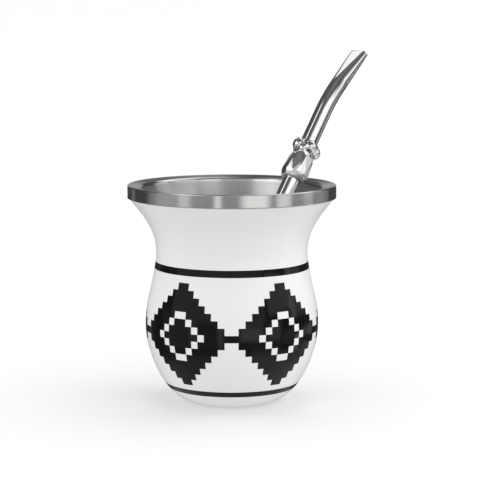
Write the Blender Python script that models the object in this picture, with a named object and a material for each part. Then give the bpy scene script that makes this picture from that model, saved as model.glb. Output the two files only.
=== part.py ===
# Mate cup with a double steel wall, and the bent steel straw that leans on its rim.
# Metres, +Z up. The origin is the centre of the cup's underside, and the straw leans towards +X and +Y.

import math

import bmesh
import bpy
from mathutils import Euler, Matrix, Vector, geometry

# Cup, seen as half a section: radius, height
CUP_HEIGHT = 0.0859
RIM_RADIUS = 0.0410
BAND_HEIGHT = 0.0050
SHEET = 0.0007
GAP = 0.0003
CUP_SIDES = 48

# Outside of the painted shell. Each curve runs from a point, with a handle, to a point, with a handle,
# and gets so many points. A handle is a direction from the horizontal and a length.
SHELL_FOOT = (0.01585, 0.0)
SHELL_BELLY = (0.0341, 0.0306)
SHELL_WAIST = (0.02985, 0.0594)
SHELL_TOP = (0.0402, CUP_HEIGHT - BAND_HEIGHT - GAP)
SHELL_CURVES = (
    (SHELL_FOOT, (10, 0.0118), SHELL_BELLY, (90, 0.0105), 8),
    (SHELL_BELLY, (90, 0.0114), SHELL_WAIST, (90, 0.0087), 5),
    (SHELL_WAIST, (90, 0.0093), SHELL_TOP, (52, 0.0071), 6),
)

# Inside of the bare liner, which stays clear of the shell all the way up to the lip
FLOOR_HEIGHT = 0.0042
FLOOR_RADIUS = 0.0140
INSIDE_BELLY = (0.0304, 0.0308)
INSIDE_WAIST = (0.0261, 0.0592)
INSIDE_CURVES = (
    ((FLOOR_RADIUS, FLOOR_HEIGHT), (10, 0.0102), INSIDE_BELLY, (90, 0.0095), 6),
    (INSIDE_BELLY, (90, 0.0114), INSIDE_WAIST, (90, 0.0087), 4),
)

# Lip: the top slopes down inwards between a tight outer corner and a softer inner one
LIP_SLOPE = 9.3
LIP_OUTER_BEND = 0.0008
LIP_INNER_BEND = 0.0013
LIP_INNER_CENTRE = 0.03671
MOUTH_WALL_ANGLE = 75.0
MOUTH_HANDLES = ((90, 0.0100), (MOUTH_WALL_ANGLE, 0.0110))
MOUTH_POINTS = 5
LIP_INNER_POINTS = 5
LIP_OUTER_POINTS = 4

# Straw, in its own frame: Z runs up the tube from the strainer's tip, X is the side it leans to
STRAW_AT_RIM = (0.02393, 0.01678)
STRAW_LEAN = 34.4
STRAW_AZIMUTH = 44.4
STRAW_BELOW_RIM = 0.0901
STRAW_ABOVE_RIM = 0.0642
TUBE_RADIUS = 0.0034
TUBE_WALL = 0.0006
TUBE_SIDES = 20
TUBE_START = 0.0200
BEND_START = STRAW_BELOW_RIM + 0.0321
BEND_LENGTH = 0.0130
BEND_ANGLE = 10.9
BEND_STEPS = 6

# Mouthpiece: the last stretch is pressed flat, wide across the lean
FLATTENED_LENGTH = 0.0170
FLATTENED_STEPS = 5
MOUTH_WIDTH = 0.0086
MOUTH_THICKNESS = 0.0030

# Ornament: a cut bead with a ring of round lobes above it, both on the tube
BORE_RADIUS = TUBE_RADIUS + GAP
BORE_BEVEL = 0.0003
BORE_SIDES = 24
BEAD_BOTTOM = STRAW_BELOW_RIM + 0.0004
BEAD_FACETS = 6
BEAD_TURN = 31.0
BEAD_MOUTH_RADIUS = 0.0048
BEAD_CUFF = (0.0057, 0.0024)
BEAD_BELLY_LEVEL = 0.0037
BEAD_SHOULDER = (0.0052, 0.0090)
BEAD_NECK = (0.0043, 0.0112)
BEAD_NECK_HALF_ANGLE = 13.0
BEAD_HEIGHT = 0.0168
LOBES = 5
LOBE_TURN = 17.0
LOBE_RADIUS = 0.0028
LOBE_STRETCH = 1.1
LOBE_CIRCLE = 0.0032
LOBE_LEVEL = 0.0142

# Strainer: a hollow bulb with small holes, whose neck takes the end of the tube
BULB_WALL = 0.0006
BULB_SIDES = 24
BULB_TIP = (0.0012, 0.0)
BULB_BELLY = (0.0050, 0.0085)
BULB_NECK = (TUBE_RADIUS + GAP + BULB_WALL, 0.0195)
BULB_CURVES = (
    (BULB_TIP, (8, 0.0034), BULB_BELLY, (90, 0.0046), 5),
    (BULB_BELLY, (90, 0.0044), BULB_NECK, (90, 0.0030), 3),
)
BULB_HEIGHT = 0.0250
HOLE_RADIUS = 0.0007
HOLE_SIDES = 8
HOLE_DEPTH = 0.0030
HOLES_PER_RING = 8
HOLE_LEVELS = (0.0060, 0.0095, 0.0130)

# Finishes: colour, metallic, roughness
FINISHES = {
    "white_coat": ((0.86, 0.86, 0.85), 0.0, 0.25),
    "bare_steel": ((0.62, 0.61, 0.59), 1.0, 0.32),
    "straw_steel": ((0.70, 0.70, 0.69), 1.0, 0.10),
    "ornament_steel": ((0.72, 0.72, 0.71), 1.0, 0.12),
    "strainer_steel": ((0.66, 0.66, 0.65), 1.0, 0.20),
}

SHARP_ANGLE = 32
MERGE_DISTANCE = 1e-7
CUT_MARGIN = 0.002


def clear_scene():
    for thing in list(bpy.data.objects):
        bpy.data.objects.remove(thing, do_unlink=True)


def finish(name):
    colour, metallic, roughness = FINISHES[name]
    material = bpy.data.materials.new(name)
    material.use_nodes = True
    shader = material.node_tree.nodes["Principled BSDF"]
    shader.inputs["Base Color"].default_value = (*colour, 1.0)
    shader.inputs["Metallic"].default_value = metallic
    shader.inputs["Roughness"].default_value = roughness
    return material


def add_object(name, shape, material=None, parent=None):
    """Turns a bmesh into an object, shaded smooth except over its sharp edges."""
    mesh = bpy.data.meshes.new(name)
    shape.to_mesh(mesh)
    shape.free()
    mesh.shade_smooth()
    mesh.set_sharp_from_angle(angle=math.radians(SHARP_ANGLE))
    if material:
        mesh.materials.append(material)
    thing = bpy.data.objects.new(name, mesh)
    thing.parent = parent
    bpy.context.scene.collection.objects.link(thing)
    return thing


def make_cutter(thing):
    thing.hide_render = True
    thing.display_type = "WIRE"
    return thing


def at_angle(length, degrees):
    return Vector((length * math.cos(math.radians(degrees)), length * math.sin(math.radians(degrees))))


def curve_points(start, leaving, end, arriving, count):
    """Points of one Bezier piece, without its first."""
    start, end = Vector(start), Vector(end)
    first = start + at_angle(leaving[1], leaving[0])
    last = end - at_angle(arriving[1], arriving[0])
    return [p.to_2d() for p in geometry.interpolate_bezier(start, first, last, end, count + 1)[1:]]


def arc_points(centre, radius, from_degrees, to_degrees, count):
    step = (to_degrees - from_degrees) / (count - 1)
    return [Vector(centre) + at_angle(radius, from_degrees + i * step) for i in range(count)]


def offset_path(path, distance):
    """The path moved sideways, to its left for a positive distance. Its start stays on the axis."""
    moved = []
    for i, point in enumerate(path):
        before = (point - path[i - 1]).normalized() if i else Vector((1, 0))
        after = (path[i + 1] - point).normalized() if i + 1 < len(path) else before
        left = Vector((-before.y - after.y, before.x + after.x)).normalized()
        reach = distance / left.dot(Vector((-after.y, after.x)))
        moved.append(point + left * reach)
    moved[0].x = 0
    return moved


def turned(outline, sides):
    """Spins half a section about Z into a closed body."""
    shape = bmesh.new()
    points = [shape.verts.new((p[0], 0, p[1])) for p in outline]
    edges = [shape.edges.new(pair) for pair in zip(points, points[1:])]
    bmesh.ops.spin(
        shape, geom=points + edges, cent=(0, 0, 0), axis=(0, 0, 1), angle=math.tau, steps=sides,
        use_merge=True,
    )
    bmesh.ops.remove_doubles(shape, verts=shape.verts, dist=MERGE_DISTANCE)
    bmesh.ops.recalc_face_normals(shape, faces=shape.faces)
    return shape


def make_shell():
    outside = [Vector((0, 0)), Vector(SHELL_FOOT)]
    for piece in SHELL_CURVES:
        outside += curve_points(*piece)
    section = offset_path(outside, SHEET) + outside[::-1]
    return add_object("cup_shell", turned(section, CUP_SIDES), finish("white_coat"))


def make_liner():
    lip_outer = (RIM_RADIUS - LIP_OUTER_BEND, CUP_HEIGHT - LIP_OUTER_BEND)
    top_outer = Vector(lip_outer) + at_angle(LIP_OUTER_BEND, 90 + LIP_SLOPE)
    slope = math.tan(math.radians(LIP_SLOPE))
    inner_start = LIP_INNER_CENTRE + at_angle(LIP_INNER_BEND, 90 + LIP_SLOPE).x
    inner_height = top_outer.y - (top_outer.x - inner_start) * slope
    lip_inner = (LIP_INNER_CENTRE, inner_height - at_angle(LIP_INNER_BEND, 90 + LIP_SLOPE).y)
    inner_bend = arc_points(
        lip_inner, LIP_INNER_BEND, 90 + MOUTH_WALL_ANGLE, 90 + LIP_SLOPE, LIP_INNER_POINTS
    )
    outer_bend = arc_points(lip_outer, LIP_OUTER_BEND, 90 + LIP_SLOPE, 0, LIP_OUTER_POINTS)

    inside = [Vector((0, FLOOR_HEIGHT)), Vector((FLOOR_RADIUS, FLOOR_HEIGHT))]
    for piece in INSIDE_CURVES:
        inside += curve_points(*piece)
    leaving, arriving = MOUTH_HANDLES
    inside += curve_points(INSIDE_WAIST, leaving, inner_bend[0], arriving, MOUTH_POINTS)
    inside += inner_bend[1:] + outer_bend
    inside.append(Vector((RIM_RADIUS, CUP_HEIGHT - BAND_HEIGHT)))
    section = inside + offset_path(inside, -SHEET)[::-1]
    return add_object("cup_liner", turned(section, CUP_SIDES), finish("bare_steel"))


def straw_frame():
    """An empty at the strainer's tip, whose Z runs up the straight part of the tube."""
    turn = Euler((0, math.radians(STRAW_LEAN), math.radians(STRAW_AZIMUTH)))
    up = turn.to_matrix() @ Vector((0, 0, 1))
    frame = bpy.data.objects.new("straw_frame", None)
    frame.location = Vector((*STRAW_AT_RIM, CUP_HEIGHT)) - up * STRAW_BELOW_RIM
    frame.rotation_euler = turn
    bpy.context.scene.collection.objects.link(frame)
    return frame


def tube_place(distance):
    """Where the tube's middle is after a distance from the strainer's tip, and how far it has bent."""
    radius = BEND_LENGTH / math.radians(BEND_ANGLE)
    bent = min(max(distance - BEND_START, 0), BEND_LENGTH) / radius
    beyond = max(distance - BEND_START - BEND_LENGTH, 0)
    x = radius * (1 - math.cos(bent)) + beyond * math.sin(bent)
    z = min(distance, BEND_START) + radius * math.sin(bent) + beyond * math.cos(bent)
    return Matrix.Translation((x, 0, z)) @ Matrix.Rotation(bent, 4, "Y")


def tube_ring(shape, distance, inset):
    """One loop of the tube: round below, and a slot with round ends towards the mouth."""
    end = STRAW_BELOW_RIM + STRAW_ABOVE_RIM
    pressed = min(max((distance - end) / FLATTENED_LENGTH + 1, 0), 1)
    half_thickness = TUBE_RADIUS + pressed * (MOUTH_THICKNESS / 2 - TUBE_RADIUS)
    flat_half_width = pressed * (MOUTH_WIDTH - MOUTH_THICKNESS) / 2
    place = tube_place(distance)
    ring = []
    for i in range(TUBE_SIDES):
        angle = math.tau * (i + 0.5) / TUBE_SIDES
        x = (half_thickness - inset) * math.cos(angle)
        y = (half_thickness - inset) * math.sin(angle) + math.copysign(flat_half_width, math.sin(angle))
        ring.append(shape.verts.new(place @ Vector((x, y, 0))))
    return ring


def make_tube(frame):
    end = STRAW_BELOW_RIM + STRAW_ABOVE_RIM
    stations = [TUBE_START, BEND_START]
    stations += [BEND_START + BEND_LENGTH * (i + 1) / BEND_STEPS for i in range(BEND_STEPS)]
    stations += [end - FLATTENED_LENGTH * (1 - i / FLATTENED_STEPS) for i in range(FLATTENED_STEPS + 1)]
    shape = bmesh.new()
    rings = [tube_ring(shape, distance, 0) for distance in stations]
    rings += [tube_ring(shape, distance, TUBE_WALL) for distance in reversed(stations)]
    for lower, upper in zip(rings, rings[1:] + rings[:1]):
        for i in range(TUBE_SIDES):
            j = (i + 1) % TUBE_SIDES
            shape.faces.new((lower[i], lower[j], upper[j], upper[i]))
    bmesh.ops.recalc_face_normals(shape, faces=shape.faces)
    return add_object("straw_tube", shape, finish("straw_steel"), frame)


def ring_points(radius, level, angles):
    return [Vector((*at_angle(radius, BEAD_TURN + angle), level)) for angle in angles]


def bead_shape():
    """A cut bead as a convex hull: kites hang from the neck, and triangles stand between them."""
    step = 360 / BEAD_FACETS
    facets = [step * i for i in range(BEAD_FACETS)]
    between = [angle + step / 2 for angle in facets]
    neck_angles = [angle + side * BEAD_NECK_HALF_ANGLE for angle in facets for side in (-1, 1)]
    # The kites are flat, so the belly's radius follows from the slope between neck and shoulder
    neck_radius, neck_level = BEAD_NECK
    shoulder_radius, shoulder_level = BEAD_SHOULDER
    neck_face = neck_radius * math.cos(math.radians(BEAD_NECK_HALF_ANGLE))
    shoulder_face = shoulder_radius * math.cos(math.radians(step / 2))
    slope = (shoulder_face - neck_face) / (neck_level - shoulder_level)
    belly_radius = shoulder_face + slope * (shoulder_level - BEAD_BELLY_LEVEL)
    points = ring_points(neck_radius, neck_level, neck_angles)
    points += ring_points(shoulder_radius, shoulder_level, between)
    points += ring_points(belly_radius, BEAD_BELLY_LEVEL, facets)
    points += ring_points(*BEAD_CUFF, facets + between)
    points += ring_points(BEAD_MOUTH_RADIUS, 0, [step / 4 * i for i in range(4 * BEAD_FACETS)])
    shape = bmesh.new()
    for point in points:
        shape.verts.new(point)
    hull = bmesh.ops.convex_hull(shape, input=shape.verts)
    bmesh.ops.delete(shape, geom=list(set(hull["geom_interior"] + hull["geom_unused"])), context="VERTS")
    bmesh.ops.recalc_face_normals(shape, faces=shape.faces)
    return shape


def make_ornament(frame):
    bead = add_object("straw_ornament", bead_shape(), finish("ornament_steel"), frame)
    bead.location.z = BEAD_BOTTOM

    added = bpy.data.collections.new("ornament_added")
    bpy.context.scene.collection.children.link(added)
    neck = bmesh.new()
    neck_radius, neck_level = BEAD_NECK
    neck_bottom = neck_level - CUT_MARGIN
    bmesh.ops.create_cone(
        neck, cap_ends=True, segments=BORE_SIDES, radius1=neck_radius, radius2=neck_radius,
        depth=BEAD_HEIGHT - neck_bottom,
        matrix=Matrix.Translation((0, 0, (BEAD_HEIGHT + neck_bottom) / 2)),
    )
    pieces = [add_object("ornament_neck", neck, parent=frame)]
    for i in range(LOBES):
        lobe = bmesh.new()
        centre = at_angle(LOBE_CIRCLE, LOBE_TURN + 360 / LOBES * i)
        bmesh.ops.create_icosphere(
            lobe, subdivisions=2, radius=LOBE_RADIUS,
            matrix=Matrix.Translation((*centre, LOBE_LEVEL)) @ Matrix.Diagonal((1, 1, LOBE_STRETCH, 1)),
        )
        pieces.append(add_object(f"ornament_lobe_{i + 1}", lobe, parent=frame))
    for piece in pieces:
        make_cutter(piece)
        piece.location.z = BEAD_BOTTOM
        bpy.context.scene.collection.objects.unlink(piece)
        added.objects.link(piece)
    join = bead.modifiers.new("join", "BOOLEAN")
    join.operation = "UNION"
    join.operand_type = "COLLECTION"
    join.collection = added

    top = BEAD_HEIGHT + CUT_MARGIN
    bore_section = [
        (0, top),
        (BORE_RADIUS, top),
        (BORE_RADIUS, BORE_BEVEL),
        (BORE_RADIUS + BORE_BEVEL + CUT_MARGIN, -CUT_MARGIN),
        (0, -CUT_MARGIN),
    ]
    bore = make_cutter(add_object("ornament_bore", turned(bore_section, BORE_SIDES), parent=frame))
    bore.location.z = BEAD_BOTTOM
    cut = bead.modifiers.new("bore", "BOOLEAN")
    cut.operation = "DIFFERENCE"
    cut.object = bore
    return bead


def make_strainer(frame):
    outside = [Vector((0, 0)), Vector(BULB_TIP)]
    for piece in BULB_CURVES:
        outside += curve_points(*piece)
    outside.append(Vector((BULB_NECK[0], BULB_HEIGHT)))
    section = offset_path(outside, BULB_WALL) + outside[::-1]
    bulb = add_object("straw_strainer", turned(section, BULB_SIDES), finish("strainer_steel"), frame)
    drills = bmesh.new()
    reach = BULB_BELLY[0]
    for row, level in enumerate(HOLE_LEVELS):
        for i in range(HOLES_PER_RING):
            turn = math.tau * (i + 0.5 * (row % 2)) / HOLES_PER_RING
            place = Matrix.Translation((0, 0, level)) @ Matrix.Rotation(turn, 4, "Z")
            bmesh.ops.create_cone(
                drills, cap_ends=True, segments=HOLE_SIDES, radius1=HOLE_RADIUS, radius2=HOLE_RADIUS,
                depth=HOLE_DEPTH,
                matrix=place @ Matrix.Translation((reach, 0, 0)) @ Matrix.Rotation(math.pi / 2, 4, "Y"),
            )
    cut = bulb.modifiers.new("holes", "BOOLEAN")
    cut.operation = "DIFFERENCE"
    cut.object = make_cutter(add_object("strainer_drills", drills, parent=frame))
    return bulb


clear_scene()
make_shell()
make_liner()
straw = straw_frame()
make_tube(straw)
make_ornament(straw)
make_strainer(straw)
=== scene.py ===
import math

import bmesh
import bpy
from mathutils import Euler, Matrix, Vector


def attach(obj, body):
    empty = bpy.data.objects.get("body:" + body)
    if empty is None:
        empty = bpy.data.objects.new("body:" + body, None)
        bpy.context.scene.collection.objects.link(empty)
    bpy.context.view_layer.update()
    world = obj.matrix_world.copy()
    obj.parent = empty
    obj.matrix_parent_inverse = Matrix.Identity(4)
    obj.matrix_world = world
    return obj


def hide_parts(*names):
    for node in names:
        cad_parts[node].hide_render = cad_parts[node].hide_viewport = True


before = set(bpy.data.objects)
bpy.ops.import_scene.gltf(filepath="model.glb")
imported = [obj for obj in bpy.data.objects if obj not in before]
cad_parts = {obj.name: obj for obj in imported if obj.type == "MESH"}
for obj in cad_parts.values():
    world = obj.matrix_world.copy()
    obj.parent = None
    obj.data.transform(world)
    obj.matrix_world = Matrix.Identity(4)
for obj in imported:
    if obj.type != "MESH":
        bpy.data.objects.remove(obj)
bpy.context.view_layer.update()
print("frame loaded:", ", ".join(sorted(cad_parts)))

samePlace = 0.000001       # metres: points nearer to each other than this are one


class Value:
    # one socket of a shader, so that its maths reads as an expression
    def __init__(self, shader, socket):
        self.shader = shader
        self.socket = socket

    def __add__(self, other):
        return self.shader.calculate("ADD", self, other)

    def __radd__(self, other):
        return self.shader.calculate("ADD", self, other)

    def __mul__(self, other):
        return self.shader.calculate("MULTIPLY", self, other)

    def __rmul__(self, other):
        return self.shader.calculate("MULTIPLY", self, other)

    def __sub__(self, other):
        return self.shader.calculate("SUBTRACT", self, other)

    def __rsub__(self, other):
        return self.shader.calculate("SUBTRACT", other, self)

    def __truediv__(self, other):
        return self.shader.calculate("DIVIDE", self, other)


class Shader:
    # the node tree of a material or of the world
    def __init__(self, owner):
        owner.use_nodes = True
        self.tree = owner.node_tree
        self.tree.nodes.clear()

    def add(self, kind, settings=None, sockets=(), output=0):
        # type of node, its settings, then values or links of its sockets
        node = self.tree.nodes.new(kind)
        for key, setting in (settings or {}).items():
            setattr(node, key, setting)
        for key, value in sockets.items() if isinstance(sockets, dict) else enumerate(sockets):
            if isinstance(value, Value):
                self.tree.links.new(value.socket, node.inputs[key])
            else:
                node.inputs[key].default_value = value
        return Value(self, node.outputs[output]) if node.outputs else None

    def calculate(self, operation, *values):
        return self.add("ShaderNodeMath", {"operation": operation}, values)

    def split(self, vector):
        node = self.add("ShaderNodeSeparateXYZ", {}, [vector]).socket.node
        return [Value(self, socket) for socket in node.outputs]

    def place(self):
        return self.add("ShaderNodeTexCoord", {}, (), "Object")

    def noise(self, vector, scale, detail, roughness):
        return self.add("ShaderNodeTexNoise", {}, {
            "Vector": vector, "Scale": scale, "Detail": detail, "Roughness": roughness,
        })

    def ramp(self, value, start, end, first=0.0, last=1.0, kind="SMOOTHSTEP"):
        # goes from first to last while the value goes from start to end
        return self.add("ShaderNodeMapRange", {"interpolation_type": kind}, [
            value, start, end, first, last,
        ])

    def mix(self, factor, *colours):
        # of two colours, each a value or three numbers
        first, second = [part if isinstance(part, Value) else (*part, 1) for part in colours]
        return self.add("ShaderNodeMix", {"data_type": "RGBA"}, {0: factor, 6: first, 7: second}, 2)

    def bump(self, height, depth, strength):
        return self.add("ShaderNodeBump", {}, {
            "Height": height, "Distance": depth, "Strength": strength,
        })

    def finish(self, **sockets):
        # the surface itself: its sockets are named with underscores for blanks
        inputs = {key.replace("_", " "): value for key, value in sockets.items()}
        surface = self.add("ShaderNodeBsdfPrincipled", {}, inputs)
        self.add("ShaderNodeOutputMaterial", {}, {"Surface": surface})


# what is done by hand in the viewport

def pickObject(piece):
    bpy.ops.object.select_all(action="DESELECT")
    piece.select_set(True)
    bpy.context.view_layer.objects.active = piece


def startEdit(piece):
    pickObject(piece)
    bpy.ops.object.mode_set(mode="EDIT")


def endEdit():
    bpy.ops.object.mode_set(mode="OBJECT")


def pickAll():
    bpy.ops.mesh.select_all(action="SELECT")


def pickParts(piece, kind, test):
    # in edit mode: selects the points or faces that pass the test, which is given their middle
    bpy.ops.mesh.select_mode(type=kind)
    bpy.ops.mesh.select_all(action="DESELECT")
    shape = bmesh.from_edit_mesh(piece.data)
    if kind == "VERT":
        for vert in shape.verts:
            vert.select = test(vert.co)
    else:
        for face in shape.faces:
            face.select = test(face.calc_center_median())
    shape.select_flush_mode()
    bmesh.update_edit_mesh(piece.data)


def applyModifier(piece, kind, **settings):
    modifier = piece.modifiers.new(kind.lower(), kind)
    for key, setting in settings.items():
        setattr(modifier, key, setting)
    pickObject(piece)
    bpy.ops.object.modifier_apply(modifier=modifier.name)


def bevelEdges(piece, width, segments=2, sharperThan=50):
    applyModifier(piece, "BEVEL", width=width, segments=segments, limit_method="ANGLE",
                  angle_limit=math.radians(sharperThan))


def cutAway(piece, cutter):
    applyModifier(piece, "BOOLEAN", operation="DIFFERENCE", object=cutter, solver="EXACT")
    bpy.data.objects.remove(cutter, do_unlink=True)


def smooth(piece, degrees=30):
    pickObject(piece)
    bpy.ops.object.shade_smooth_by_angle(angle=math.radians(degrees))


def settle(piece):
    # puts the place of the piece into its mesh
    pickObject(piece)
    bpy.ops.object.transform_apply(location=True, rotation=True, scale=True)


def named(name):
    piece = bpy.context.object
    piece.name = name
    piece.data.name = name
    return piece


def dress(piece, material, slot, *nodes):
    # finish, and the place of the piece in the frame
    piece.data.materials.clear()
    piece.data.materials.append(material)
    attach(piece, "root")
    if nodes:
        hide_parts(*nodes)


def atAngle(length, degrees):
    turn = math.radians(degrees)
    return Vector((length * math.cos(turn), 0, length * math.sin(turn)))


def drawOutline(name, knots, fineness):
    # half a section on the XZ plane. A knot is radius, height, handle before and handle after it,
    # each a direction from the horizontal and a length, or None towards a straight stretch.
    bpy.ops.curve.primitive_bezier_curve_add()
    outline = named(name)
    outline.data.resolution_u = fineness
    points = outline.data.splines[0].bezier_points
    points.add(len(knots) - len(points))
    for point, (radius, height, before, after) in zip(points, knots):
        point.co = (radius, 0, height)
        point.handle_left_type = "FREE" if before else "VECTOR"
        point.handle_right_type = "FREE" if after else "VECTOR"
        if before:
            point.handle_left = point.co - atAngle(before[1], before[0])
        if after:
            point.handle_right = point.co + atAngle(after[1], after[0])
    pickObject(outline)
    bpy.ops.object.convert(target="MESH")
    return bpy.context.object


def turnOutline(piece, steps, level):
    # spins the outline, and turns its faces round if the outermost near this level looks inwards
    startEdit(piece)
    pickAll()
    bpy.ops.mesh.spin(steps=steps, angle=math.tau, center=(0, 0, 0), axis=(0, 0, 1))
    pickAll()
    bpy.ops.mesh.remove_doubles(threshold=2 * samePlace)
    bpy.ops.mesh.normals_make_consistent(inside=False)
    endEdit()
    outermost = min(
        piece.data.polygons, key=lambda face: abs(face.center.z - level) - face.center.xy.length,
    )
    if outermost.normal.xy.dot(outermost.center.xy) < 0:
        startEdit(piece)
        pickAll()
        bpy.ops.mesh.flip_normals()
        endEdit()


# the painted shell and its print

shellForm = {
    # knots: middle of the foot, its edge, belly, waist, and the edge under the rim band
    "outline": [
        (0.0, 0.0, None, None),
        (0.01585, 0.0, None, (10, 0.0118)),
        (0.0341, 0.0306, (90, 0.0105), (90, 0.0114)),
        (0.02985, 0.0594, (90, 0.0087), (90, 0.0093)),
        (0.0402, 0.0806, (52, 0.0071), None),
    ],
    "bellyLevel": 0.03,
    "sheet": 0.0007,
    "edge": 0.00012,
    "steps": 320,
    "fineness": 20,
}

# a frieze of stepped diamonds between two lines, on squares counted from a diamond's middle
printForm = {
    "motifs": 5,
    "columnsPerMotif": 16,
    "rows": 19,
    "rowHeight": 0.00275,
    "bottom": 0.0060,          # level of the lowest row
    "black": (0, 1, 2, 4, 5, 6, 7),        # which of the diamonds inside each other
    "diamondRows": 7,          # above and below its middle row
    "lift": 0.00003,
}

coatLook = {
    "colours": ((0.855, 0.855, 0.85), (0.88, 0.88, 0.877)),
    "clouds": 60,
    "roughness": 0.26,
    "cloudsAdd": 0.08,         # to the roughness
    "specular": 0.35,
}

inkLook = {
    "colours": ((0.003, 0.003, 0.0034), (0.007, 0.007, 0.0075)),
    "clouds": 120,
    "roughness": 0.06,
    "cloudsAdd": 0.07,
    "specular": 0.22,
}


def makeShell():
    shell = drawOutline("cupShell", shellForm["outline"], shellForm["fineness"])
    path = [vert.co.copy() for vert in shell.data.vertices]
    turnOutline(shell, shellForm["steps"], shellForm["bellyLevel"])
    return shell, path


def levelsAlong(path, start, step, count):
    # heights of the rows, evenly spaced along the outline from a start height
    levels = [start]
    walked = 0.0
    for before, after in zip(path, path[1:]):
        if after.z <= start:
            continue
        begin = before
        if before.z < start:
            begin = before.lerp(after, (start - before.z) / (after.z - before.z))
        length = (after - begin).length
        while walked + length >= step * len(levels) and len(levels) <= count:
            share = (step * len(levels) - walked) / length
            levels.append(begin.lerp(after, share).z)
        walked += length
    return levels


def makePrint(shell, path):
    # the inked squares are cut into the shell's outside, copied off it and lifted a little
    form = printForm
    levels = levelsAlong(path, form["bottom"], form["rowHeight"], form["rows"])
    startEdit(shell)
    for level in levels:
        pickAll()
        bpy.ops.mesh.bisect(plane_co=(0, 0, level), plane_no=(0, 0, 1))
    columns = form["columnsPerMotif"] * form["motifs"]
    half = form["rows"] // 2

    def inked(centre):
        if not levels[0] < centre.z < levels[-1]:
            return False
        row = sum(level < centre.z for level in levels) - 1 - half
        if abs(row) > form["diamondRows"]:
            return abs(row) == half        # the two lines
        turn = (math.atan2(centre.y, centre.x) + math.pi / 2) / math.tau * columns
        column = math.floor(turn) % form["columnsPerMotif"] - form["columnsPerMotif"] // 2
        return round(abs(column + 0.5) - 0.5 + abs(row)) in form["black"]

    pickParts(shell, "FACE", inked)
    bpy.ops.mesh.duplicate()
    bpy.ops.mesh.separate(type="SELECTED")
    endEdit()
    ink = next(thing for thing in bpy.context.selected_objects if thing is not shell)
    ink.name = ink.data.name = "cupPrint"
    startEdit(ink)
    pickAll()
    bpy.ops.transform.shrink_fatten(value=form["lift"])
    endEdit()
    return ink


def paintFinish(name, look):
    # smooth paint: a faint orange peel, and clouds in its colour and gloss
    material = bpy.data.materials.new(name)
    shader = Shader(material)
    place = shader.place()
    peel = shader.noise(place, scale=900, detail=2, roughness=0.5)
    cloud = shader.noise(place, scale=look["clouds"], detail=3, roughness=0.6)
    shader.finish(
        Base_Color=shader.mix(cloud, *look["colours"]),
        Roughness=look["roughness"] + look["cloudsAdd"] * cloud,
        Specular_IOR_Level=look["specular"],
        Normal=shader.bump(peel, depth=0.00001, strength=0.6),
    )
    return material


shell, shellPath = makeShell()
ink = makePrint(shell, shellPath)
applyModifier(shell, "SOLIDIFY", thickness=shellForm["sheet"], offset=-1)
bevelEdges(shell, shellForm["edge"])
smooth(shell)
applyModifier(ink, "SOLIDIFY", thickness=printForm["lift"], offset=0)
smooth(ink)
dress(shell, paintFinish("whiteCoat", coatLook), "white_coat", "cup_shell")
dress(ink, paintFinish("blackInk", inkLook), "black_print")
print("shell and print made:", len(shell.data.polygons), len(ink.data.polygons))


# the bare liner, from the floor inside up over the lip and down the rim band

linerForm = {
    # knots: middle of the floor, its edge, belly and waist
    "inside": [
        (0.0, 0.0042, None, None),
        (0.0140, 0.0042, None, (10, 0.0102)),
        (0.0304, 0.0308, (90, 0.0095), (90, 0.0114)),
        (0.0261, 0.0592, (90, 0.0087), (90, 0.0100)),
    ],
    "mouthWall": 75.0,         # how steeply the wall reaches the lip
    "mouthHandle": 0.0110,
    "lipSlope": 9.3,           # down inwards
    "lipOuterBend": 0.00045,
    "lipInnerBend": 0.0013,
    "lipInnerCentre": 0.03671,
    "rim": (0.0410, 0.0859),   # radius, level
    "band": 0.0050,
    "sheet": 0.0007,
    "edge": 0.00012,
    "hold": 0.0003,            # from a bend to the loop that holds the flat beside it
    "steps": 288,
    "fineness": 18,
}

linerLook = {
    "bandColours": ((0.56, 0.552, 0.54), (0.70, 0.692, 0.68)),
    "wallColours": ((0.54, 0.532, 0.524), (0.65, 0.641, 0.632)),
    "wallWithin": (0.0408, 0.0396),        # radii and levels between which the lip's finish ends
    "wallBelow": (0.0845, 0.0832),
    "ringsAcross": 1500,
    "ringsAlong": 2,
    "ringsOnLip": 0.8,         # how much closer the rings lie for going outwards
    "clouds": 90,
    "roughness": 0.17,
    "ringsAdd": 0.06,          # to the roughness
    "cloudsAdd": 0.03,
    "wallAdds": 0.15,
    "brushed": 0.85,
}


def bendHandle(radius, degrees):
    # length of the handles that make a round bend
    return radius * 4 / 3 * math.tan(math.radians(degrees) / 4)


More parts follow.
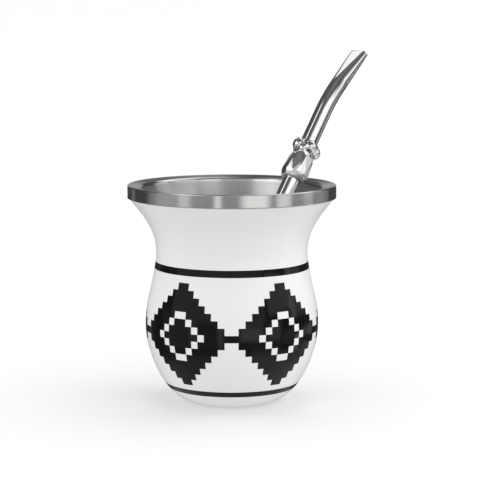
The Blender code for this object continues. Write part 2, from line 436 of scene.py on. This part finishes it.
def makeLiner():
    form = linerForm
    rimRadius, top = form["rim"]
    slope = form["lipSlope"]
    outerBend = form["lipOuterBend"]
    innerBend = form["lipInnerBend"]
    wall = form["mouthWall"]
    outerCentre = Vector((rimRadius - outerBend, 0, top - outerBend))
    outerStart = outerCentre + atAngle(outerBend, 90 + slope)
    innerX = form["lipInnerCentre"] + atAngle(innerBend, 90 + slope).x
    drop = (outerStart.x - innerX) * math.tan(math.radians(slope))
    innerEnd = Vector((innerX, 0, outerStart.z - drop))
    innerCentre = innerEnd - atAngle(innerBend, 90 + slope)
    innerStart = innerCentre + atAngle(innerBend, 90 + wall)
    flatStart = innerEnd + atAngle(form["hold"], slope)
    flatEnd = outerStart - atAngle(form["hold"], slope)
    # the path climbs the inside, so at the lip it travels to the right and then down
    innerHandle = bendHandle(innerBend, wall - slope)
    outerHandle = bendHandle(outerBend, 90 + slope)
    liner = drawOutline("cupLiner", [
        *form["inside"],
        (innerStart.x, innerStart.z, (wall, form["mouthHandle"]), (wall, innerHandle)),
        (innerEnd.x, innerEnd.z, (slope, innerHandle), None),
        (flatStart.x, flatStart.z, None, None),
        (flatEnd.x, flatEnd.z, None, None),
        (outerStart.x, outerStart.z, None, (slope, outerHandle)),
        (rimRadius, top - outerBend, (-90, outerHandle), None),
        (rimRadius, top - outerBend - form["hold"], None, None),
        (rimRadius, top - form["band"] + form["hold"], None, None),
        (rimRadius, top - form["band"], None, None),
    ], form["fineness"])
    turnOutline(liner, form["steps"], top - form["band"] / 2)
    applyModifier(liner, "SOLIDIFY", thickness=form["sheet"], offset=-1)
    bevelEdges(liner, form["edge"])
    smooth(liner)
    return liner


def linerFinish():
    look = linerLook
    material = bpy.data.materials.new("turnedSteel")
    shader = Shader(material)
    place = shader.place()
    x, y, z = shader.split(place)
    radius = shader.calculate("SQRT", x * x + y * y)
    # band and lip are brushed finer and brighter than the satin wall inside
    within = shader.ramp(radius, *look["wallWithin"], kind="LINEAR")
    inside = within * shader.ramp(z, *look["wallBelow"], kind="LINEAR")
    # fine rings all round: the noise hardly changes along them and fast across them
    across = (z + radius * look["ringsOnLip"]) * look["ringsAcross"]
    along = look["ringsAlong"]
    rings = shader.add("ShaderNodeCombineXYZ", {}, [
        x / radius * along, y / radius * along, across,
    ])
    brushing = shader.noise(rings, scale=1.0, detail=3, roughness=0.6)
    cloud = shader.noise(place, scale=look["clouds"], detail=3, roughness=0.6)
    band = shader.mix(brushing, *look["bandColours"])
    wall = shader.mix(brushing, *look["wallColours"])
    shader.finish(
        Base_Color=shader.mix(inside, band, wall),
        Metallic=1.0,
        Roughness=(
            look["roughness"] + look["ringsAdd"] * brushing + look["cloudsAdd"] * cloud
            + look["wallAdds"] * inside
        ),
        Anisotropic=look["brushed"],
        Anisotropic_Rotation=0.25,
        Normal=shader.bump(brushing, depth=0.000004, strength=0.5),
    )
    return material


liner = makeLiner()
dress(liner, linerFinish(), "bare_steel", "cup_liner")
print("liner made:", len(liner.data.polygons))


# the straw: all on it is made upright over the strainer's tip and then leant into place

strawPlace = {
    "atRim": (0.02393, 0.01678, 0.0859),
    "lean": 34.4,
    "azimuth": 44.4,
    "belowRim": 0.0901,
    "aboveRim": 0.0642,
}

strawTurn = Euler((0, math.radians(strawPlace["lean"]), math.radians(strawPlace["azimuth"])))
tipToRim = strawTurn.to_matrix() @ Vector((0, 0, strawPlace["belowRim"]))
strawTip = Vector(strawPlace["atRim"]) - tipToRim
strawMatrix = Matrix.Translation(strawTip) @ strawTurn.to_matrix().to_4x4()

tubeForm = {
    "radius": 0.0034,
    "wall": 0.0006,
    "sides": 64,
    "start": 0.0200,           # above the strainer's tip
    "straightLoops": (0.05, 0.35, 0.35, 0.25),     # shares of the stretch below the bend
    "bendStart": 0.0321,       # above the rim
    "bendLength": 0.0130,
    "bendAngle": 10.9,
    "bendSteps": 16,
    "pressedLength": 0.0170,
    "pressedSteps": 20,
    "mouthWidth": 0.0086,
    "mouthThickness": 0.0030,
    "edge": 0.00015,
}


def leanInto(piece, matrix=strawMatrix):
    piece.matrix_world = matrix
    settle(piece)


def makeTube():
    # made from the mouthpiece down, with the end of the bend at the origin
    form = tubeForm
    radius = form["radius"]
    bendStart = strawPlace["belowRim"] + form["bendStart"]
    bend = math.radians(form["bendAngle"])
    bendRadius = form["bendLength"] / bend
    mouth = strawPlace["belowRim"] + strawPlace["aboveRim"] - bendStart - form["bendLength"]
    pressedStart = mouth - form["pressedLength"]
    bpy.ops.mesh.primitive_circle_add(
        vertices=form["sides"], radius=radius, rotation=(0, 0, math.pi / form["sides"]),
    )
    tube = named("strawTube")
    settle(tube)
    startEdit(tube)
    level = 0.0

    def pickLoop(side=0):
        # the loop at this level, or its half on one side
        pickParts(tube, "VERT", lambda co: (
            abs(co.z - level) < samePlace and (side == 0 or co.y * side > 0)
        ))

    def spreadHalves(distance):
        for side in (1, -1):
            pickLoop(side)
            bpy.ops.transform.translate(value=(0, side * distance, 0))

    def pressedBy(share):
        # half the thickness, and half the flat stretch between the round sides
        thickness = radius + share * (form["mouthThickness"] / 2 - radius)
        flat = share * (form["mouthWidth"] - form["mouthThickness"]) / 2
        return thickness, flat

    # up: the mouthpiece, pressed flat loop by loop
    thickness, flat = pressedBy(0)
    for step in range(form["pressedSteps"] + 1):
        nextLevel = pressedStart + form["pressedLength"] * step / form["pressedSteps"]
        rise = (0, 0, nextLevel - level)
        pickLoop()
        bpy.ops.mesh.extrude_region_move(TRANSFORM_OT_translate={"value": rise})
        level = nextLevel
        spreadHalves(-flat)
        nextThickness, flat = pressedBy(step / form["pressedSteps"])
        scale = nextThickness / thickness
        thickness = nextThickness
        pickLoop()
        bpy.ops.transform.resize(value=(scale, scale, 1), center_override=(0, 0, level))
        spreadHalves(flat)
    # down: the bend, then the straight stretch to the strainer
    level = 0.0
    pickLoop()
    bpy.ops.mesh.spin(
        steps=form["bendSteps"], angle=bend, center=(bendRadius, 0, 0), axis=(0, 1, 0),
    )
    down = Vector((math.sin(bend), 0, -math.cos(bend)))
    lower = bendStart - form["start"]
    for share in form["straightLoops"]:
        bpy.ops.mesh.extrude_region_move(TRANSFORM_OT_translate={"value": down * lower * share})
    pickAll()
    bpy.ops.mesh.remove_doubles(threshold=samePlace)
    bpy.ops.mesh.normals_make_consistent(inside=False)
    endEdit()
    bendEnd = Matrix.Translation((
        bendRadius * (1 - math.cos(bend)), 0, bendStart + bendRadius * math.sin(bend),
    )) @ Matrix.Rotation(bend, 4, "Y")
    leanInto(tube, strawMatrix @ bendEnd)
    applyModifier(tube, "SOLIDIFY", thickness=form["wall"], offset=-1)
    bevelEdges(tube, form["edge"])
    smooth(tube, 40)
    return tube


beadForm = {
    "bottom": 0.0004,          # above the rim
    "turn": 31.0,
    # rings that its faces span: corners, radius, level
    "mouth": (24, 0.0048, 0.0),
    "cuff": (12, 0.0057, 0.0024),
    "belly": (6, 0.005258, 0.0037),
    "shoulder": (6, 0.0052, 0.0090),
    "neck": (6, 0.0043, 0.0112),
    "neckHalfAngle": 13.0,
    "flatWithin": 1.5,         # degrees: what bends less is one face
    "edge": 0.00018,
    "bore": 0.0037,
    "boreMiddle": 0.005,
}

collarForm = {
    "neck": (0.0043, 0.0100, 0.0168),      # radius, from, to
    # turn, distance out, level, radius, stretch upwards
    "lobes": [
        (17, 0.0032, 0.0142, 0.0028, 1.10),
        (89, 0.0032, 0.0142, 0.0028, 1.10),
        (158, 0.0036, 0.0144, 0.0025, 1.15),
        (205, 0.0028, 0.0131, 0.0022, 1.15),
        (250, 0.0032, 0.0145, 0.0028, 1.05),
        (304, 0.0036, 0.0135, 0.0027, 1.05),
    ],
    "grain": 0.00013,
    "softening": 4,
    "boreMiddle": 0.01,
}


def addRing(corners, radius, level, turn):
    bpy.ops.mesh.primitive_circle_add(
        vertices=corners, radius=radius, location=(0, 0, level),
        rotation=(0, 0, math.radians(turn)),
    )


def boreThrough(piece, middle):
    # the hole that the tube goes through
    bpy.ops.mesh.primitive_cylinder_add(
        vertices=96, radius=beadForm["bore"], depth=0.03, location=(0, 0, middle),
    )
    cutAway(piece, bpy.context.object)


def leanOntoStraw(piece):
    base = strawPlace["belowRim"] + beadForm["bottom"]
    leanInto(piece, strawMatrix @ Matrix.Translation((0, 0, base)))


def makeBead():
    form = beadForm
    turn = form["turn"] - 90       # a circle's first corner stands on Y
    halfSide = 180 / form["belly"][0]
    addRing(*form["mouth"], turn)
    bead = named("strawBead")
    settle(bead)
    startEdit(bead)
    addRing(*form["cuff"], turn)
    addRing(*form["belly"], turn)
    addRing(*form["shoulder"], turn + halfSide)
    for side in (-1, 1):
        addRing(*form["neck"], turn + side * form["neckHalfAngle"])
    pickAll()
    bpy.ops.mesh.convex_hull()
    pickAll()
    bpy.ops.mesh.dissolve_limited(angle_limit=math.radians(form["flatWithin"]))
    bpy.ops.mesh.normals_make_consistent(inside=False)
    endEdit()
    bevelEdges(bead, form["edge"], segments=3, sharperThan=6)
    boreThrough(bead, form["boreMiddle"])
    leanOntoStraw(bead)
    smooth(bead, 18)
    return bead


def makeCollar():
    # round lobes that are cast together on a plain neck
    form = collarForm
    radius, bottom, top = form["neck"]
    bpy.ops.mesh.primitive_cylinder_add(
        vertices=96, radius=radius, depth=top - bottom, location=(0, 0, (top + bottom) / 2),
    )
    collar = named("strawCollar")
    settle(collar)
    startEdit(collar)
    for turn, out, level, lobeRadius, stretch in form["lobes"]:
        turn = math.radians(turn)
        bpy.ops.mesh.primitive_ico_sphere_add(
            subdivisions=5, radius=lobeRadius, scale=(1, 1, stretch),
            location=(out * math.cos(turn), out * math.sin(turn), level),
        )
    endEdit()
    applyModifier(collar, "REMESH", mode="VOXEL", voxel_size=form["grain"])
    applyModifier(collar, "SMOOTH", factor=0.5, iterations=form["softening"])
    boreThrough(collar, form["boreMiddle"])
    leanOntoStraw(collar)
    smooth(collar, 40)
    return collar


strainerForm = {
    # knots: middle of the tip, its edge, where it is widest, then the sleeve on the tube
    "outline": [
        (0.0, 0.0, None, None),
        (0.0012, 0.0, None, (8, 0.0034)),
        (0.0050, 0.0085, (90, 0.0046), (90, 0.0044)),
        (0.0043, 0.0195, (90, 0.0030), None),
        (0.0043, 0.0250, None, None),
    ],
    "widest": (0.0050, 0.0085),            # radius, level
    "wall": 0.0006,
    "edge": 0.0001,
    "steps": 96,
    "fineness": 14,
    "holeRadius": 0.0007,
    "holeSides": 24,
    "holeDepth": 0.003,
    "holesPerRing": 8,
    "holeLevels": (0.0060, 0.0095, 0.0130),
}


def makeStrainer():
    form = strainerForm
    radius, level = form["widest"]
    strainer = drawOutline("strawStrainer", form["outline"], form["fineness"])
    turnOutline(strainer, form["steps"], level)
    applyModifier(strainer, "SOLIDIFY", thickness=form["wall"], offset=-1)
    drill = {
        "vertices": form["holeSides"], "radius": form["holeRadius"], "depth": form["holeDepth"],
    }
    # an empty piece takes all the drills, each lying along the radius of its hole
    bpy.ops.mesh.primitive_cylinder_add(**drill)
    drills = named("drills")
    startEdit(drills)
    pickAll()
    bpy.ops.mesh.delete(type="VERT")
    for ring, level in enumerate(form["holeLevels"]):
        for i in range(form["holesPerRing"]):
            turn = math.tau * (i + 0.5 * (ring % 2)) / form["holesPerRing"]
            bpy.ops.mesh.primitive_cylinder_add(
                **drill, location=(radius * math.cos(turn), radius * math.sin(turn), level),
                rotation=(0, math.pi / 2, turn),
            )
    endEdit()
    cutAway(strainer, drills)
    bevelEdges(strainer, form["edge"])
    leanInto(strainer)
    smooth(strainer, 35)
    return strainer


steelLook = {
    "scratchesAcross": 2500,
    "scratchesAlong": 60,
    "clouds": 160,
    "cloudsAdd": 0.03,         # to the roughness
    "darker": 0.93,            # the darkest clouds
    # colour, roughness, what the scratches add to it, their depth, and waves left by the polishing
    "strawSteel": ((0.76, 0.76, 0.75), 0.05, 0.05, 0.0000006, 0),
    "ornamentSteel": ((0.78, 0.78, 0.77), 0.05, 0.04, 0.0000006, 70),
    "strainerSteel": ((0.66, 0.66, 0.65), 0.18, 0.1, 0.000002, 0),
}


def strawFinish(name):
    look = steelLook
    colour, roughness, scratchesAdd, depth, waves = look[name]
    material = bpy.data.materials.new(name)
    shader = Shader(material)
    # the pattern lies along the straw
    along = shader.add("ShaderNodeMapping", {"vector_type": "TEXTURE"}, {
        "Vector": shader.place(), "Location": strawTip, "Rotation": strawTurn,
    })
    x, y, z = shader.split(along)
    across = look["scratchesAcross"]
    lines = shader.add("ShaderNodeCombineXYZ", {}, [
        x * across, y * across, z * look["scratchesAlong"],
    ])
    scratch = shader.noise(lines, scale=1.0, detail=2, roughness=0.6)
    cloud = shader.noise(along, scale=look["clouds"], detail=3, roughness=0.6)
    darker = tuple(part * look["darker"] for part in colour)
    height = scratch
    if waves:
        # cast and polished by hand, so that no face is quite flat
        height = scratch + waves * shader.noise(along, scale=330, detail=1, roughness=0.4)
    shader.finish(
        Base_Color=shader.mix(cloud, darker, colour),
        Metallic=1.0,
        Roughness=roughness + scratchesAdd * scratch + look["cloudsAdd"] * cloud,
        Normal=shader.bump(height, depth, strength=0.5),
    )
    return material


tube = makeTube()
dress(tube, strawFinish("strawSteel"), "straw_steel", "straw_tube")
ornamentSteel = strawFinish("ornamentSteel")
bead = makeBead()
dress(bead, ornamentSteel, "ornament_steel", "straw_ornament")
collar = makeCollar()
dress(collar, ornamentSteel, "ornament_steel", "straw_ornament")
strainer = makeStrainer()
dress(strainer, strawFinish("strainerSteel"), "strainer_steel", "straw_strainer")
for piece in (tube, bead, collar, strainer):
    print("made on the straw:", piece.name, len(piece.data.polygons))


# floor, light and camera

floorForm = {
    "radius": 0.4,
    "sides": 96,
    "level": -0.00004,
    "growth": (5, 5, 4),       # each further ring is so many times as wide
    "colour": (0.975, 0.975, 0.975),
    "darker": 0.99,            # the darkest clouds
    "clouds": 25,
    "roughness": 0.7,
}

studio = {
    # what lights the paint, and how much more from the right, from both sides and from above
    "soft": 0.81,
    "softRight": 0.10,
    "softRightAbove": 0.25,
    "softSides": 0.50,
    "softSidesBelow": 0.50,
    "softAbove": 0.40,
    # what the steel mirrors between the light boxes, how much more above, and what below
    "room": 0.065,
    "roomAbove": 0.08,
    "floorGlow": 0.50,
    "floorGlowFrom": (-0.42, -0.62),       # sines of how far down
    "backdrop": 1.0,       # behind the object
}

# light boxes that the steel mirrors, in degrees: azimuth to the right of the camera, half width,
# lower edge, upper edge, brightness, softness
lightBoxes = [
    (30, 13, 22, 42, 0.95, 3),        # key, high on the right
    (12, 12, 42, 50, 0.50, 4),
    (-17, 30, 60, 84, 0.07, 6),       # faint, overhead
    (50, 7, 20, 31, 1.30, 5),
    (70, 20, 6, 23, 1.10, 4),
    (90, 6, -1, 8, 0.80, 2),
    (69, 11, 27, 51, 0.85, 5),
    (96, 16, 23, 42, 0.90, 5),
    (104, 16, 0, 24, 0.70, 6),
    (-70, 10, 40, 57, 1.25, 5),       # strip, high on the left
    (-152, 11, 40, 60, 1.15, 5),      # behind on the left, above
    (142, 38, 36, 68, 1.35, 8),       # behind on the right, above
    (180, 18, 1, 13, 0.32, 7),        # wall behind
    (-21, 67, 2, 41, 0.60, 5),        # wall in front
    (-52, 20, 20, 42, 1.50, 10),
    (75, 45, -52, -25, 0.40, 6),      # low on the right
    (-16, 88, -25, 2, 0.20, 8),       # table height: what the rim band sees
    (26, 14, -16, 0, 1.25, 12),
    (59, 8, -16, 0, 0.85, 8),
    (82, 9, -20, -6, 0.40, 4),
    (98, 5, -25, -11, 1.5, 3),
    (119, 14, -13, -7, 0.52, 2),
    (118, 14, -25, -17, 0.38, 2),
    (-15, 3, -25, 2, 0.90, 4),
    (-53, 6, -25, 2, 0.50, 8),
    (-78, 14, -25, 2, 0.15, 12),
    (-138, 4, -25, 2, 0.14, 2),
]

cameraForm = {
    "place": (0.0032, -0.740, 0.1603),
    "tilt": 82.57,             # 90 would look level
    "lens": 141.95,
    "sensor": 36,
    "farthest": 200,
}


def makeFloor():
    form = floorForm
    bpy.ops.mesh.primitive_circle_add(
        vertices=form["sides"], radius=form["radius"], fill_type="TRIFAN",
        location=(0, 0, form["level"]),
    )
    floor = named("floor")
    settle(floor)
    startEdit(floor)
    pickParts(floor, "VERT", lambda co: co.xy.length > form["radius"] / 2)
    for grow in form["growth"]:
        bpy.ops.mesh.extrude_region_move()
        bpy.ops.transform.resize(value=(grow, grow, 1), center_override=(0, 0, 0))
    endEdit()
    material = bpy.data.materials.new("paleFloor")
    shader = Shader(material)
    cloud = shader.noise(shader.place(), scale=form["clouds"], detail=2, roughness=0.5)
    darker = tuple(part * form["darker"] for part in form["colour"])
    shader.finish(
        Base_Color=shader.mix(cloud, form["colour"], darker),
        Roughness=form["roughness"],
    )
    floor.data.materials.append(material)
    floor.visible_glossy = False      # the steel and the paint see the studio instead
    floor.visible_diffuse = False


def lightBox(shader, direction, azimuth, halfWidth, low, high, brightness, softness):
    x, y, z, level = direction
    turn, soft = math.radians(azimuth), softness / 2
    towards = (x * math.sin(turn) - y * math.cos(turn)) / level
    outer, inner = [
        math.cos(math.radians(width)) for width in (halfWidth + soft, max(halfWidth - soft, 0))
    ]
    edges = (low - soft, low + soft, high - soft, min(high + soft, 90))
    lowStart, lowEnd, highStart, highEnd = [math.sin(math.radians(edge)) for edge in edges]
    wide = shader.ramp(towards, outer, inner)
    lower = shader.ramp(z, lowStart, lowEnd)
    upper = shader.ramp(z, highStart, highEnd, 1.0, 0.0)
    return wide * lower * upper * brightness


def makeLight():
    world = bpy.data.worlds.new("studio")
    bpy.context.scene.world = world
    shader = Shader(world)
    x, y, z = shader.split(shader.add("ShaderNodeTexCoord", {}, (), "Generated"))
    notZero = 0.0001
    level = shader.calculate("SQRT", x * x + y * y + notZero)
    mirrored = studio["room"] + z * z * studio["roomAbove"]
    below = shader.ramp(z, *studio["floorGlowFrom"], 0.0, studio["floorGlow"])
    mirrored = mirrored + below
    for place in lightBoxes:
        mirrored = mirrored + lightBox(shader, (x, y, z, level), *place)
    sides = x * x * (studio["softSides"] - z * studio["softSidesBelow"])
    right = x * (studio["softRight"] + z * studio["softRightAbove"])
    soft = studio["soft"] + right + z * studio["softAbove"] + sides
    ray = shader.add("ShaderNodeLightPath").socket.node
    glossy = Value(shader, ray.outputs["Is Glossy Ray"])
    camera = Value(shader, ray.outputs["Is Camera Ray"])
    light = soft + (mirrored - soft) * glossy
    light = light + (studio["backdrop"] - light) * camera
    background = shader.add("ShaderNodeBackground", {}, {"Color": light})
    shader.add("ShaderNodeOutputWorld", {}, {"Surface": background})
    world.cycles.sampling_method = "NONE"
    bpy.context.scene.view_settings.view_transform = "Standard"


def makeCamera():
    form = cameraForm
    bpy.ops.object.camera_add(
        location=form["place"], rotation=(math.radians(form["tilt"]), 0, 0),
    )
    camera = bpy.context.object
    camera.data.lens = form["lens"]
    camera.data.sensor_width = form["sensor"]
    camera.data.clip_end = form["farthest"]
    bpy.context.scene.camera = camera


makeFloor()
makeLight()
makeCamera()
print("floor, light and camera set")
